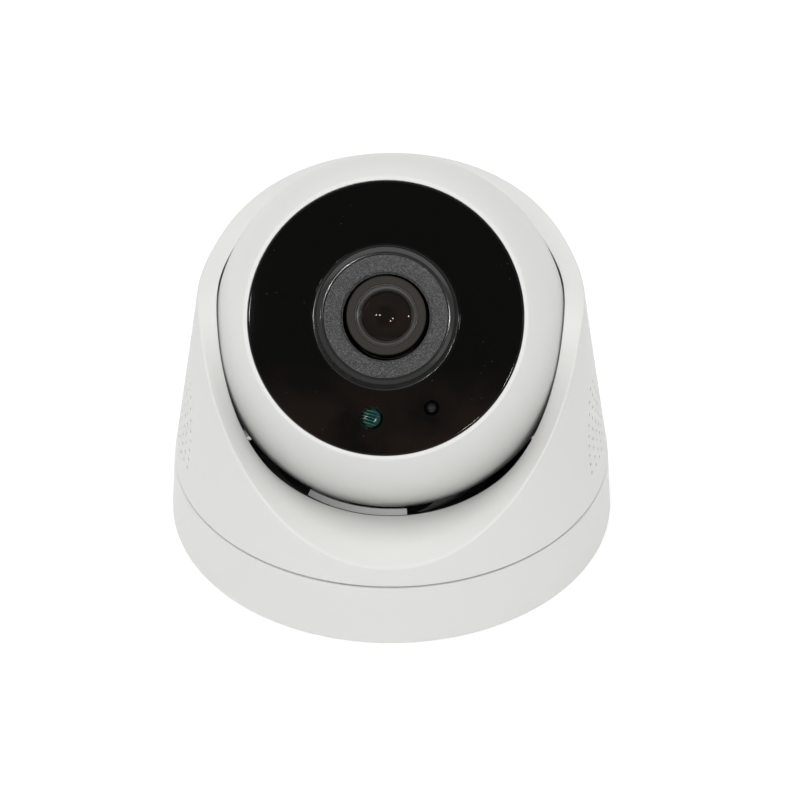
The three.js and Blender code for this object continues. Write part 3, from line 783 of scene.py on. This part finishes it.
def cut_height(y):
    """Height of the cut edge seen from the side, a smooth curve through the profile's points."""
    for i in range(len(CUT_PROFILE) - 1):
        if y <= CUT_PROFILE[i + 1][0] or i == len(CUT_PROFILE) - 2:
            break
    last = len(CUT_PROFILE) - 1
    p0, p1, p2, p3 = (Vector(CUT_PROFILE[min(max(k, 0), last)]) for k in (i - 1, i, i + 1, i + 2))
    t = (y - p1.x) / (p2.x - p1.x)
    slope1 = (p2.y - p0.y) / (p2.x - p0.x)
    slope2 = (p3.y - p1.y) / (p3.x - p1.x)
    span = p2.x - p1.x
    return ((2 * t ** 3 - 3 * t ** 2 + 1) * p1.y + (t ** 3 - 2 * t ** 2 + t) * slope1 * span
            + (-2 * t ** 3 + 3 * t ** 2) * p2.y + (t ** 3 - t ** 2) * slope2 * span)


def ridge_height(angle):
    """Height where the wall meets the cut edge at an angle from the front, found step by step."""
    z = 40.0
    for _ in range(40):
        z += 0.4 * (cut_height(-wall_radius(z) * math.cos(angle)) - z)
    return z


def smoothstep(x, low, high):
    t = min(max((x - low) / (high - low), 0), 1)
    return t * t * (3 - 2 * t)


def lip(angle):
    """Height of the opening's edge and its distance from the ball's centre."""
    away = math.degrees(abs(angle))
    room = SIDE_ROOM + FRONT_ROOM * (1 - smoothstep(away, 41.2, 66.2))
    width = 25.0 if away < DIP_MIDDLE else 20.0
    dip = DIP_DEPTH * math.exp(-((away - DIP_MIDDLE) / width) ** 2)
    return ridge_height(angle) + 0.59 - dip, BALL_REACH + room


def ball_side(reach, z):
    """Radius, at a height, of a sphere about the ball's centre."""
    return math.sqrt(reach ** 2 - (z - CENTRE_Z) ** 2)


def cover_section(angle):
    """The cover's closed outline at an angle from the front, always with the same count of points."""
    ridge = ridge_height(angle)
    lip_z, reach = lip(angle)
    outer = wall_radius(ridge)
    edge = ball_side(reach, lip_z)
    under = lip_z - LIP_THICK
    under_edge = max(edge, ball_side(reach, under))
    inside = max(COVER_LOW + 0.6, min(ridge, lip_z) - 2.2)
    low_wall = COVER_LOW + 0.8
    wall = [(wall_radius(z), z) for z in (low_wall + (ridge - 1.2 - low_wall) * k / 12 for k in range(13))]
    floor = [(outer + (edge - outer) * t, ridge + (lip_z - ridge) * t) for t in (0.2, 0.35, 0.5, 0.65, 0.8)]
    inner = [(wall_radius(z) - COVER_WALL, z)
             for z in (inside - 0.6 + (COVER_LOW - inside + 0.6) * k / 6 for k in range(6))]
    corner = (max(under_edge + 0.2, wall_radius(inside) - COVER_WALL - 1.2), min(inside + 0.3, under))
    outline = [(wall_radius(COVER_LOW), COVER_LOW, 0.3), *wall, (outer, ridge, 0.9), *floor,
               (edge, lip_z, 0.55), (under_edge, under, 0.3), (*corner, 0.3), *inner,
               (wall_radius(COVER_LOW) - COVER_WALL, COVER_LOW, 0.2)]
    return rounded(outline, True, 6)


def cover_shell(steps):
    """A turned blank whose points are moved to the section at their own angle."""
    bm = bmesh.new()
    station = bm.verts.layers.int.new("station")
    blank = cover_section(0.0)
    verts = []
    for i, point in enumerate(blank):
        vert = bm.verts.new((0, -(60 - 0.1 * i) * MM, 0.1 * i * MM))
        vert[station] = i
        verts.append(vert)
    edges = [bm.edges.new(pair) for pair in zip(verts, verts[1:] + verts[:1])]
    bmesh.ops.spin(bm, geom=verts + edges, cent=(0, 0, 0), axis=(0, 0, 1), angle=math.tau,
                   steps=steps, use_merge=True)
    sections = {}
    for vert in bm.verts:
        angle = math.atan2(vert.co.x, -vert.co.y)
        key = round(abs(angle) / math.tau * steps)
        if key not in sections:
            sections[key] = cover_section(key * math.tau / steps)
        point = sections[key][vert[station]]
        vert.co = Vector((point.x * math.sin(angle), -point.x * math.cos(angle), point.y)) * MM
    bmesh.ops.recalc_face_normals(bm, faces=bm.faces)
    return bm


VENT_ROWS = 9
VENT_RISE = 2.05
VENT_STEP = 2.6
VENT_LOW = 20.2
VENT_ARC = 23.5
VENT_ARC_Y = 6.5
VENT_MIDDLE = -9.0
VENT_RADIUS = 0.42
VENT_DEPTH = 0.8


def vent_drills():
    """Short drills for the blind vents in both side walls, in rows that shorten upwards."""
    drills = []
    for row in range(VENT_ROWS):
        rise = row * VENT_RISE
        z = VENT_LOW + rise
        front = VENT_ARC_Y - math.sqrt(VENT_ARC ** 2 - rise ** 2)
        y = front
        while y <= 2 * VENT_MIDDLE - front:
            foot = math.sqrt(wall_radius(z) ** 2 - y ** 2) - VENT_DEPTH
            for side in (90, -90):
                drill = turned([(0, foot), (VENT_RADIUS - 0.1, foot, 0.1), (VENT_RADIUS, foot + 0.5),
                                (VENT_RADIUS, foot + 4), (0, foot + 4)], 12, False, 2)
                place = Matrix.Translation(Vector((0, y, z)) * MM)
                drills.append(moved(drill, place @ Matrix.Rotation(math.radians(side), 4, "Y")))
            y += VENT_STEP
    return gathered(drills)


def cover():
    piece = object_from(cover_shell(240), "cover_fine")
    foot = [(40.25, 8.85), (43.65, 8.85), (43.65, 10.85, 0.2), (41.25, 10.85), (41.25, COVER_LOW + 0.1),
            (45.0, COVER_LOW + 0.1), (45.0, COVER_LOW + 1.6), (40.25, COVER_LOW + 1.6)]
    tabs = [turned(foot, 12, sweep=14, start=a - 7) for a in TAB_ANGLES]
    solid_edit(piece, gathered(tabs), "UNION")
    solid_edit(piece, vent_drills(), "DIFFERENCE")
    piece.data.transform(Matrix.Rotation(math.radians(COVER_TURN), 4, "Z"))
    finished(piece, "cover", white_plastic(), ["cover"], 30)


def hold_down_pads():
    low, high = CENTRE_Z + 7, CENTRE_Z + 11.5
    section = [(ball_side(PAD_REACH, low), low, 0.2), (wall_radius(low) - 2.7, low, 0.2),
               (wall_radius(high) - 2.7, high, 0.2), (ball_side(PAD_REACH, high), high, 0.2),
               (ball_side(PAD_REACH, (low + high) / 2), (low + high) / 2)]
    for i, angle in enumerate((128, 180, 232), 1):
        bm = turned(section, 16, sweep=18, start=angle - 9 + COVER_TURN)
        make(f"hold_down_pad_{i}_fine", bm, "cover", rubber(), [f"hold_down_pad_{i}"])


# ---------------------------------------------------------------- ball

# Heights of the ball's pieces run along the lens axis, from the ball's centre.
SPLIT = -5.0
SHELL_WALL = 3.0
OUTLET_HOLE = 6.5
GLIDE_LOW = -8
GLIDE_HIGH = -2
RIM_PLANE = 23.3
WINDOW_FACE = 22.9
WINDOW_BACK = 21.1
SHELF = 20.4
SHELF_BACK = 19.0
WINDOW_HOLE = 14.5


def latitude(radius, z):
    """Degrees above the ball's equator at which a sphere reaches a height."""
    return math.degrees(math.asin(z / radius))


def ball_shells():
    radius = sizes().ball_radius / MM
    inner = radius - SHELL_WALL
    window = sizes().window_radius / MM + 0.1
    outline = arc(radius, latitude(radius, SPLIT + 0.15), latitude(radius, RIM_PLANE - 0.3), 48)
    outline += [(math.sqrt(radius ** 2 - RIM_PLANE ** 2), RIM_PLANE - 0.03, 0.6),
                (window, RIM_PLANE - 0.1, 0.15), (window, SHELF, 0.1), (window - 2.1, SHELF, 0.1),
                (window - 2.1, SHELF_BACK, 0.1)]
    outline += arc(inner, latitude(inner, SHELF_BACK), latitude(inner, SPLIT + 0.15), 24)
    make("front_shell_fine", moved(turned(outline, FINE), LENS_FRAME), "head",
         white_plastic(), ["front_shell"], 28)
    outline = arc(inner, latitude(inner, SPLIT - 0.15), -math.degrees(math.acos(OUTLET_HOLE / inner)), 28)
    outline += arc(radius, -math.degrees(math.acos(OUTLET_HOLE / radius)), latitude(radius, SPLIT - 0.15), 48)
    make("rear_shell_fine", moved(turned(outline, FINE), LENS_FRAME), "ball",
         white_plastic(), ["rear_shell"], 28)
    glide = math.sqrt(inner ** 2 - GLIDE_LOW ** 2) - 0.35
    outline = [(glide - 1.8, GLIDE_LOW, 0.3), (glide, GLIDE_LOW, 0.3), (glide, GLIDE_HIGH, 0.3),
               (glide - 1.8, GLIDE_HIGH, 0.3)]
    make("shell_ring_fine", moved(turned(outline, 128), LENS_FRAME), "ball",
         black_plastic(), ["shell_ring"])
    outline = [(3.2, -radius + 1.2, 0.4), (6.35, -radius + 1.1, 0.3), (6.4, -inner + 0.9),
               (8.4, -inner + 1.5, 0.3), (8, -inner + 2.8, 0.4), (3.2, -inner + 2.8, 0.4)]
    make("rear_grommet_fine", moved(turned(outline, 64), LENS_FRAME), "ball",
         rubber(), ["rear_grommet"])


# ---------------------------------------------------------------- window and lens

CELL_SPOT = Vector((-2.0, -19.8, 0))
LAMP_SPOT = Vector((9.7, -17.4, 0))
CELL_HOLE = 2.3
LAMP_HOLE = 1.5
CELL_RADIUS = 2.0
LAMP_RADIUS = 1.4
COLLAR_RADIUS = 14.4
COLLAR_BORE = 12.3
BOARD_FACE = 18.95


def window_set():
    radius = sizes().window_radius / MM
    outline = [(WINDOW_HOLE, WINDOW_BACK, 0.1), (radius, WINDOW_BACK, 0.1), (radius, WINDOW_FACE, 0.35),
               (WINDOW_HOLE, WINDOW_FACE, 0.12)]
    piece = object_from(turned(outline, FINE), "window_fine")
    holes = [moved(turned([(0, 15), (r, 15), (r, 30), (0, 30)], 48, False), Matrix.Translation(spot * MM))
             for spot, r in ((CELL_SPOT, CELL_HOLE), (LAMP_SPOT, LAMP_HOLE))]
    solid_edit(piece, gathered(holes), "DIFFERENCE")
    piece.data.transform(LENS_FRAME)
    finished(piece, "head", smoked_window(), ["window"])
    outline = [(radius - 1.7, SHELF + 0.05, 0.2), (radius - 0.2, SHELF + 0.05, 0.2),
               (radius - 0.2, WINDOW_BACK - 0.05, 0.2), (radius - 1.7, WINDOW_BACK - 0.05, 0.2)]
    make("window_seal_fine", moved(turned(outline, 96), LENS_FRAME), "head",
         rubber(), ["window_seal"])


def collar_and_ring():
    outline = [(0, BOARD_FACE), (COLLAR_RADIUS, BOARD_FACE), (COLLAR_RADIUS, WINDOW_FACE, 0.25),
               (0, WINDOW_FACE)]
    piece = object_from(turned(outline, 160, False), "lens_collar_fine")
    bore = [(0, BOARD_FACE - 1), (11.1, BOARD_FACE - 1), (11.1, BOARD_FACE + 1),
            (COLLAR_BORE, BOARD_FACE + 1), (COLLAR_BORE, WINDOW_FACE - 0.8, 0.2),
            (12.75, WINDOW_FACE - 0.75, 0.2), (13.7, WINDOW_FACE - 0.05, 0.3), (13.8, WINDOW_FACE + 1),
            (0, WINDOW_FACE + 1)]
    solid_edit(piece, moved(turned(bore, 160, False), SHROUD_RISE), "DIFFERENCE")
    piece.data.transform(LENS_FRAME)
    finished(piece, "head", polished_black(), ["lens_collar"])
    side = COLLAR_BORE - 0.05
    outline = [(8.6, 20.0), (side, 20.0), (side, WINDOW_FACE - 0.95, 0.15), (8.9, WINDOW_FACE - 1.95, 0.3),
               (8.85, 20.35, 0.1), (8.6, 20.25, 0.1)]
    make("shroud_ring_fine", moved(turned(outline, 128), RAISED_SHROUD), "head",
         grained_ring(), ["shroud_ring"])


LENS_TOP = 20.5
LENS_RADIUS = 7.9
THREAD_RADIUS = 6
GLASS_SEAT = 7.0
GLASS_RADIUS = 6.8
GLASS_CURVE = 10.5
TRIM_OUTER = 6.22
TRIM_INNER = 4.95


def lens_set():
    top = LENS_TOP
    outline = [(5, 4), (THREAD_RADIUS, 4, 0.2), (THREAD_RADIUS, top - 5.5), (LENS_RADIUS, top - 5.5, 0.2),
               (LENS_RADIUS, top, 0.35), (6.26, top - 0.02, 0.06), (6.26, top - 0.6), (GLASS_SEAT, top - 0.6),
               (GLASS_SEAT, top - 2.5), (5, top - 2.5)]
    make("lens_barrel_fine", moved(turned(outline, 96), RAISED_LENS), "head",
         lens_face(), ["lens_barrel"])
    outline = [(TRIM_INNER, top - 1.45), (6.95, top - 1.45), (6.95, top - 0.65), (TRIM_OUTER, top - 0.62),
               (TRIM_OUTER, top - 0.05, 0.06), (6.12, top + 0.02, 0.06), (6.0, top - 0.08, 0.05),
               (5.9, top - 0.4, 0.12), (5.55, top - 0.52, 0.15), (TRIM_INNER, top - 1.16, 0.1)]
    make("lens_retainer_fine", moved(turned(outline, 128), RAISED_LENS), "head",
         lens_trim(), ["lens_retainer"])
    dome = [(0, top - 2.45), (GLASS_RADIUS, top - 2.45, 0.1), (GLASS_RADIUS, top - 1.6, 0.1),
            (5.5, top - 1.55, 0.1)]
    crown = top + 0.05
    dome += [(r, crown - GLASS_CURVE + math.sqrt(GLASS_CURVE ** 2 - r ** 2)) for r in
             (5.2 * k / 24 for k in range(24, -1, -1))]
    make("front_element_fine", moved(turned(dome, 128, False), RAISED_LENS), "head",
         coated_glass(), ["front_element"])
    outline = [(6.05, 11.15), (8.1, 11.15, 0.2), (8.1, 13.1, 0.2), (6.05, 13.1, 0.1)]
    make("lens_lock_ring_fine", moved(turned(outline, 64), RAISED_LENS), "head",
         lens_face(), ["lens_lock_ring"])


def small_sensors():
    face = WINDOW_FACE - 0.2
    outline = [(0, BOARD_FACE), (CELL_RADIUS, BOARD_FACE), (CELL_RADIUS, face - 0.55, 0.35),
               (1.5, face - 0.12, 0.8), (0, face)]
    cell = moved(turned(outline, 48, False), LENS_FRAME @ Matrix.Translation(CELL_SPOT * MM))
    make("photocell_fine", cell, "head", sensor_cap(), ["photocell"], 60)
    dome = [(0, BOARD_FACE), (LAMP_RADIUS, BOARD_FACE), (LAMP_RADIUS, face - LAMP_RADIUS - 0.05)]
    dome += arc(LAMP_RADIUS, 0, 90, 10, face - LAMP_RADIUS)
    lamp = moved(turned(dome, 40, False), LENS_FRAME @ Matrix.Translation(LAMP_SPOT * MM))
    make("status_led_fine", lamp, "head", smoked_lamp(), ["status_led"], 60)


INNER_FINISHES = {
    "lens_holder": black_plastic, "ir_filter": filter_glass, "image_sensor": chip_black,
    "main_board": solder_mask, "led_board": solder_mask, "standoff": brass, "board_screw": steel,
    "ir_led": smoked_lamp}


def inner_parts():
    """The boards, posts and chips keep their own solids and get their finishes."""
    for node, piece in frame["nodes"].items():
        for stem, finish in INNER_FINISHES.items():
            if node.startswith(stem):
                piece.data.materials.clear()
                piece.data.materials.append(finish())


# ---------------------------------------------------------------- stage

CAMERA_SPOT = Vector((0.00184, -0.37167, 0.30361))
CAMERA_DROP = 36.81
SKY_LEVEL = 0.45
DARK_PATCH_LEVEL = 0.03
DARK_PATCH_WAY = Vector((-0.093, -0.693, 0.715)).normalized()


def area_light(name, spot, target, size, power):
    data = bpy.data.lights.new(name, "AREA")
    data.shape = "DISK"
    data.size = size
    data.energy = power
    lamp = bpy.data.objects.new(name, data)
    lamp.location = spot
    lamp.rotation_mode = "QUATERNION"
    lamp.rotation_quaternion = (Vector(target) - Vector(spot)).to_track_quat("-Z", "Y")
    bpy.context.scene.collection.objects.link(lamp)
    return lamp


def floor():
    bm = bmesh.new()
    bmesh.ops.create_grid(bm, x_segments=8, y_segments=8, size=3.0)
    piece = object_from(moved(bm, Matrix.Translation((0, 0, -0.0002))), "floor")
    finish = moulded("Pale floor", (0.75, 0.75, 0.75), 0.85, 0.95, grain=60.0, drift=0.01,
                     strength=0.02, specular=0.1)
    finish.shader.inputs["Emission Color"].default_value = (1, 1, 1, 1)
    finish.shader.inputs["Emission Strength"].default_value = 0.35
    piece.data.materials.append(finish.material)


def sky():
    """An even pale surround with one darker patch high in front, which the flat window mirrors."""
    world = bpy.data.worlds.new("Studio")
    bpy.context.scene.world = world
    world.use_nodes = True
    nodes, links = world.node_tree.nodes, world.node_tree.links
    way = nodes.new("ShaderNodeTexCoord").outputs["Generated"]
    dot = nodes.new("ShaderNodeVectorMath")
    dot.operation = "DOT_PRODUCT"
    dot.inputs[1].default_value = DARK_PATCH_WAY
    links.new(way, dot.inputs[0])
    level = spread(nodes, links, dot.outputs["Value"], 0.88, 0.955, SKY_LEVEL, DARK_PATCH_LEVEL)
    shown = nodes.new("ShaderNodeLightPath").outputs["Is Camera Ray"]
    strength = nodes.new("ShaderNodeMix")
    strength.data_type = "FLOAT"
    links.new(shown, strength.inputs["Factor"])
    links.new(level, strength.inputs["A"])
    strength.inputs["B"].default_value = 1.0
    background = nodes["Background"]
    background.inputs["Color"].default_value = (1.0, 1.0, 0.99, 1)
    links.new(strength.outputs["Result"], background.inputs["Strength"])


def camera():
    data = bpy.data.cameras.new("Camera")
    data.lens = 99.0
    data.sensor_width = 36.0
    data.clip_start = 0.01
    data.clip_end = 20.0
    piece = bpy.data.objects.new("Camera", data)
    piece.location = CAMERA_SPOT
    piece.rotation_euler = (math.radians(90 - CAMERA_DROP), 0, 0)
    bpy.context.scene.collection.objects.link(piece)
    bpy.context.scene.camera = piece


GLINTS = ((-9.5, 0.0), (-6.0, 0.0), (6.5, -3.0), (4.5, -5.5), (21.5, 0.3))
GLINT_SCALE = 0.205
LAMP_DISTANCE = 1.2
LAMP_SIZE = 0.06
LAMP_POWER = 0.8


def mirrored_from(right, up):
    """The place whose image lies this far right and up of the lens's middle, in units of GLINT_SCALE."""
    lens_middle = RAISED_LENS @ Vector((0, 0, LENS_TOP * MM))
    to_camera = (LENS_TURN.transposed() @ (CAMERA_SPOT - lens_middle)).normalized()
    x, y = right * GLINT_SCALE / GLASS_CURVE, up * GLINT_SCALE / GLASS_CURVE
    normal = Vector((x, y, math.sqrt(1 - x * x - y * y)))
    return BALL_CENTRE + LENS_TURN @ (2 * normal.dot(to_camera) * normal - to_camera) * LAMP_DISTANCE


def lamp_row():
    """Small lamps placed so that the domed front glass mirrors them as a short row of points."""
    for i, (right, up) in enumerate(GLINTS):
        area_light(f"Lamp_{i}", mirrored_from(right, up), BALL_CENTRE, LAMP_SIZE, LAMP_POWER)


def stage():
    camera()
    floor()
    sky()
    bpy.context.scene.view_settings.view_transform = "Standard"
    target = (0, 0, 0.04)
    area_light("Key", (-1.1, 0.1, 0.9), target, 0.8, 0.7)
    top = area_light("Top", (-0.06, -0.16, 1.25), target, 0.8, 8.4)
    top.visible_glossy = False
    lamp_row()


# ---------------------------------------------------------------- operators


def step(identifier, label, text, *builders):
    """An operator class that runs its builders in order."""

    def execute(self, context):
        for build in builders:
            build()
        return {"FINISHED"}

    return type("TURRET_OT_" + identifier, (bpy.types.Operator,), {
        "bl_idname": "turret." + identifier, "bl_label": label, "__doc__": text,
        "bl_options": {"REGISTER", "UNDO"}, "execute": execute})


STEPS = (
    step("stage", "Stage", "Camera, floor and soft studio light", stage),
    step("base", "Mounting base", "The mounting base and its fittings", mounting_base, base_fittings),
    step("carrier", "Pan ring", "The pan ring and the pads that the ball rests on", pan_ring),
    step("cover", "Cover", "The tapered cover and the pads that press on the ball", cover, hold_down_pads),
    step("ball", "Ball", "The ball's two shells, glide ring and cable outlet", ball_shells),
    step("window", "Window", "The smoked window, its seal, the collar and the grained ring", window_set,
         collar_and_ring),
    step("lens", "Lens", "The lens barrel, its trim ring, front glass and lock ring", lens_set),
    step("sensors", "Light sensor and lamp", "The light sensor and the small lamp", small_sensors),
    step("inside", "Inner parts", "Finishes of the boards, posts and chips", inner_parts),
)


class TURRET_PT_panel(bpy.types.Panel):
    """Lists the camera's settings and the steps that build it."""

    bl_label = "Turret camera"
    bl_idname = "TURRET_PT_panel"
    bl_space_type = "VIEW_3D"
    bl_region_type = "UI"
    bl_category = "Turret camera"

    def draw(self, context):
        for settings in (context.scene.turret_sizes, context.scene.turret_finishes):
            for name in settings.__annotations__:
                self.layout.prop(settings, name)
        for operator in STEPS:
            self.layout.operator(operator.bl_idname)


CLASSES = (TurretSizes, TurretFinishes, *STEPS, TURRET_PT_panel)


def register():
    for item in CLASSES:
        bpy.utils.register_class(item)
    bpy.types.Scene.turret_sizes = PointerProperty(type=TurretSizes)
    bpy.types.Scene.turret_finishes = PointerProperty(type=TurretFinishes)


def unregister():
    del bpy.types.Scene.turret_finishes
    del bpy.types.Scene.turret_sizes
    for item in reversed(CLASSES):
        bpy.utils.unregister_class(item)


def main():
    register()
    for operator in STEPS:
        family, name = operator.bl_idname.split(".")
        getattr(getattr(bpy.ops, family), name)()


if __name__ == "__main__":
    main()
